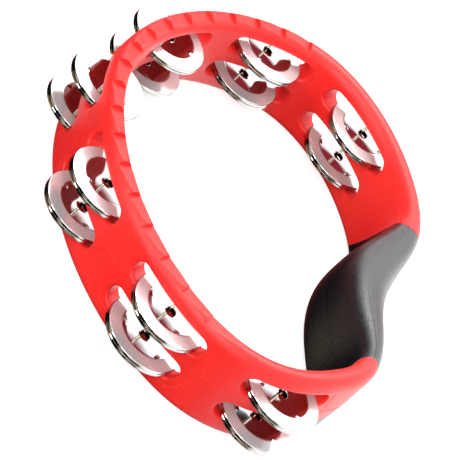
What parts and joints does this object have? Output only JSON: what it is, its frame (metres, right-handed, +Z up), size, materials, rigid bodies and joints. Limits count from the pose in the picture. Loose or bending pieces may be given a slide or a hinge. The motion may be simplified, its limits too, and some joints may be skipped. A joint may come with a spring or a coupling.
{
  "type": "tambourine",
  "caption": "Hand-held headless tambourine: an open ring with a ridged rim, an inward-bowed soft grip and two rows of paired jingles sliding on upright pins.",
  "frame": {"origin": "middle of the outline seen from above, at the height of the flat foot the ring lies on", "axes": "+Z up through the open ring, towards the ridged rim; +X towards the hand grip; +Y along the ring's longer extent, its mirror direction"},
  "size_m": [0.2173, 0.2894, 0.053],
  "materials": {
    "red_plastic": "satin-gloss moulded plastic, opaque red",
    "black_rubber": "satin, fine-grained soft rubber",
    "pin_steel": "bright drawn wire",
    "jingle_steel": "polished plated sheet steel"
  },
  "bodies": {
    "frame": {"frame": "red_plastic", "grip": "black_rubber", "pin_1": "pin_steel", "pin_2": "pin_steel", "pin_3": "pin_steel", "pin_4": "pin_steel", "pin_5": "pin_steel", "pin_6": "pin_steel", "pin_7": "pin_steel"},
    "jingle_lower_1_a": {"jingle_lower_1_a": "jingle_steel"},
    "jingle_lower_1_b": {"jingle_lower_1_b": "jingle_steel"},
    "jingle_lower_2_a": {"jingle_lower_2_a": "jingle_steel"},
    "jingle_lower_2_b": {"jingle_lower_2_b": "jingle_steel"},
    "jingle_lower_3_a": {"jingle_lower_3_a": "jingle_steel"},
    "jingle_lower_3_b": {"jingle_lower_3_b": "jingle_steel"},
    "jingle_lower_4_a": {"jingle_lower_4_a": "jingle_steel"},
    "jingle_lower_4_b": {"jingle_lower_4_b": "jingle_steel"},
    "jingle_lower_5_a": {"jingle_lower_5_a": "jingle_steel"},
    "jingle_lower_5_b": {"jingle_lower_5_b": "jingle_steel"},
    "jingle_lower_6_a": {"jingle_lower_6_a": "jingle_steel"},
    "jingle_lower_6_b": {"jingle_lower_6_b": "jingle_steel"},
    "jingle_lower_7_a": {"jingle_lower_7_a": "jingle_steel"},
    "jingle_lower_7_b": {"jingle_lower_7_b": "jingle_steel"},
    "jingle_upper_1_a": {"jingle_upper_1_a": "jingle_steel"},
    "jingle_upper_1_b": {"jingle_upper_1_b": "jingle_steel"},
    "jingle_upper_2_a": {"jingle_upper_2_a": "jingle_steel"},
    "jingle_upper_2_b": {"jingle_upper_2_b": "jingle_steel"},
    "jingle_upper_3_a": {"jingle_upper_3_a": "jingle_steel"},
    "jingle_upper_3_b": {"jingle_upper_3_b": "jingle_steel"},
    "jingle_upper_4_a": {"jingle_upper_4_a": "jingle_steel"},
    "jingle_upper_4_b": {"jingle_upper_4_b": "jingle_steel"},
    "jingle_upper_5_a": {"jingle_upper_5_a": "jingle_steel"},
    "jingle_upper_5_b": {"jingle_upper_5_b": "jingle_steel"},
    "jingle_upper_6_a": {"jingle_upper_6_a": "jingle_steel"},
    "jingle_upper_6_b": {"jingle_upper_6_b": "jingle_steel"},
    "jingle_upper_7_a": {"jingle_upper_7_a": "jingle_steel"},
    "jingle_upper_7_b": {"jingle_upper_7_b": "jingle_steel"}
  },
  "joints": [
    {"name": "slide_lower_1_a", "type": "slide", "parent": "frame", "child": "jingle_lower_1_a", "axis": [0, 0, 1], "range_m": [0, 0.0027]},
    {"name": "slide_lower_1_b", "type": "slide", "parent": "jingle_lower_1_a", "child": "jingle_lower_1_b", "axis": [0, 0, 1], "range_m": [0, 0.0027]},
    {"name": "slide_lower_2_a", "type": "slide", "parent": "frame", "child": "jingle_lower_2_a", "axis": [0, 0, 1], "range_m": [0, 0.0027]},
    {"name": "slide_lower_2_b", "type": "slide", "parent": "jingle_lower_2_a", "child": "jingle_lower_2_b", "axis": [0, 0, 1], "range_m": [0, 0.0027]},
    {"name": "slide_lower_3_a", "type": "slide", "parent": "frame", "child": "jingle_lower_3_a", "axis": [0, 0, 1], "range_m": [0, 0.0027]},
    {"name": "slide_lower_3_b", "type": "slide", "parent": "jingle_lower_3_a", "child": "jingle_lower_3_b", "axis": [0, 0, 1], "range_m": [0, 0.0027]},
    {"name": "slide_lower_4_a", "type": "slide", "parent": "frame", "child": "jingle_lower_4_a", "axis": [0, 0, 1], "range_m": [0, 0.0027]},
    {"name": "slide_lower_4_b", "type": "slide", "parent": "jingle_lower_4_a", "child": "jingle_lower_4_b", "axis": [0, 0, 1], "range_m": [0, 0.0027]},
    {"name": "slide_lower_5_a", "type": "slide", "parent": "frame", "child": "jingle_lower_5_a", "axis": [0, 0, 1], "range_m": [0, 0.0027]},
    {"name": "slide_lower_5_b", "type": "slide", "parent": "jingle_lower_5_a", "child": "jingle_lower_5_b", "axis": [0, 0, 1], "range_m": [0, 0.0027]},
    {"name": "slide_lower_6_a", "type": "slide", "parent": "frame", "child": "jingle_lower_6_a", "axis": [0, 0, 1], "range_m": [0, 0.0027]},
    {"name": "slide_lower_6_b", "type": "slide", "parent": "jingle_lower_6_a", "child": "jingle_lower_6_b", "axis": [0, 0, 1], "range_m": [0, 0.0027]},
    {"name": "slide_lower_7_a", "type": "slide", "parent": "frame", "child": "jingle_lower_7_a", "axis": [0, 0, 1], "range_m": [0, 0.0027]},
    {"name": "slide_lower_7_b", "type": "slide", "parent": "jingle_lower_7_a", "child": "jingle_lower_7_b", "axis": [0, 0, 1], "range_m": [0, 0.0027]},
    {"name": "slide_upper_1_a", "type": "slide", "parent": "frame", "child": "jingle_upper_1_a", "axis": [0, 0, 1], "range_m": [0, 0.0027]},
    {"name": "slide_upper_1_b", "type": "slide", "parent": "jingle_upper_1_a", "child": "jingle_upper_1_b", "axis": [0, 0, 1], "range_m": [0, 0.0027]},
    {"name": "slide_upper_2_a", "type": "slide", "parent": "frame", "child": "jingle_upper_2_a", "axis": [0, 0, 1], "range_m": [0, 0.0027]},
    {"name": "slide_upper_2_b", "type": "slide", "parent": "jingle_upper_2_a", "child": "jingle_upper_2_b", "axis": [0, 0, 1], "range_m": [0, 0.0027]},
    {"name": "slide_upper_3_a", "type": "slide", "parent": "frame", "child": "jingle_upper_3_a", "axis": [0, 0, 1], "range_m": [0, 0.0027]},
    {"name": "slide_upper_3_b", "type": "slide", "parent": "jingle_upper_3_a", "child": "jingle_upper_3_b", "axis": [0, 0, 1], "range_m": [0, 0.0027]},
    {"name": "slide_upper_4_a", "type": "slide", "parent": "frame", "child": "jingle_upper_4_a", "axis": [0, 0, 1], "range_m": [0, 0.0027]},
    {"name": "slide_upper_4_b", "type": "slide", "parent": "jingle_upper_4_a", "child": "jingle_upper_4_b", "axis": [0, 0, 1], "range_m": [0, 0.0027]},
    {"name": "slide_upper_5_a", "type": "slide", "parent": "frame", "child": "jingle_upper_5_a", "axis": [0, 0, 1], "range_m": [0, 0.0027]},
    {"name": "slide_upper_5_b", "type": "slide", "parent": "jingle_upper_5_a", "child": "jingle_upper_5_b", "axis": [0, 0, 1], "range_m": [0, 0.0027]},
    {"name": "slide_upper_6_a", "type": "slide", "parent": "frame", "child": "jingle_upper_6_a", "axis": [0, 0, 1], "range_m": [0, 0.0027]},
    {"name": "slide_upper_6_b", "type": "slide", "parent": "jingle_upper_6_a", "child": "jingle_upper_6_b", "axis": [0, 0, 1], "range_m": [0, 0.0027]},
    {"name": "slide_upper_7_a", "type": "slide", "parent": "frame", "child": "jingle_upper_7_a", "axis": [0, 0, 1], "range_m": [0, 0.0027]},
    {"name": "slide_upper_7_b", "type": "slide", "parent": "jingle_upper_7_a", "child": "jingle_upper_7_b", "axis": [0, 0, 1], "range_m": [0, 0.0027]}
  ]
}
